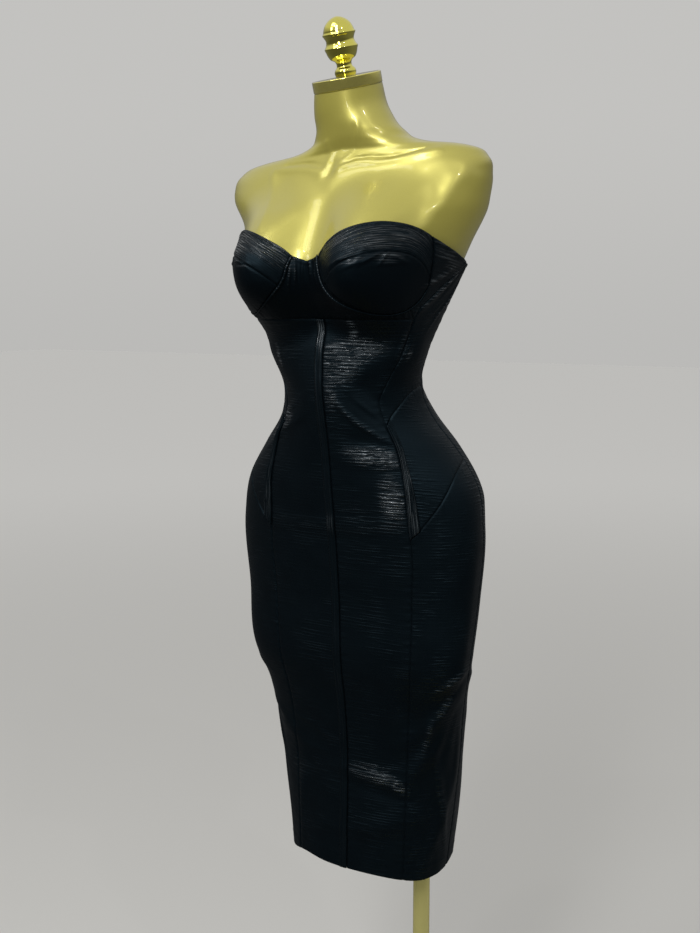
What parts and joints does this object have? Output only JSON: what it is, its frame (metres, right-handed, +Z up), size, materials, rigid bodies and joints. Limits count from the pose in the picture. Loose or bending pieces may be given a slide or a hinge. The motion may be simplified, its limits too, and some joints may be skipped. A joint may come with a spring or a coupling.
{
  "type": "bodycon dress on a dress form",
  "caption": "Strapless princess-seamed midi bodycon dress with shaped cups, on a limbless torso form with a pole and round base.",
  "frame": {"origin": "centre of the base plate's underside, on the pole's axis, on the floor", "axes": "+Z up along the pole; the form faces -Y; +X is the wearer's left"},
  "size_m": [0.4391, 0.3689, 1.5433],
  "materials": {
    "black_cloth": "coated stretch cloth with a fine broken crosswise rib, semi-gloss",
    "black_trim": "the same cloth on the lengthwise grain",
    "gold_paint": "satin olive-gold metallic paint under clear lacquer on a fibreglass shell",
    "gold_chrome": "polished gold plate"
  },
  "bodies": {
    "root": {"front_centre_left": "black_cloth", "front_centre_right": "black_cloth", "skirt_side_left": "black_cloth", "skirt_side_right": "black_cloth", "hip_inset_left": "black_cloth", "hip_inset_right": "black_cloth", "bodice_side_left": "black_cloth", "bodice_side_right": "black_cloth", "back_left": "black_cloth", "back_right": "black_cloth", "side_yoke_left": "black_cloth", "side_yoke_right": "black_cloth", "upper_cup_left": "black_cloth", "upper_cup_right": "black_cloth", "lower_cup_left": "black_cloth", "lower_cup_right": "black_cloth", "gore_cradle": "black_cloth", "cup_edging_left": "black_trim", "cup_edging_right": "black_trim", "centre_casing": "black_trim", "hip_tape_left": "black_trim", "hip_tape_right": "black_trim", "back_zip_flap": "black_trim", "form_torso": "gold_paint", "neck_cap": "gold_chrome", "finial": "gold_chrome", "pole_socket": "gold_chrome", "pole": "gold_chrome", "base_collar": "gold_chrome", "base_plate": "gold_chrome"}
  },
  "joints": []
}
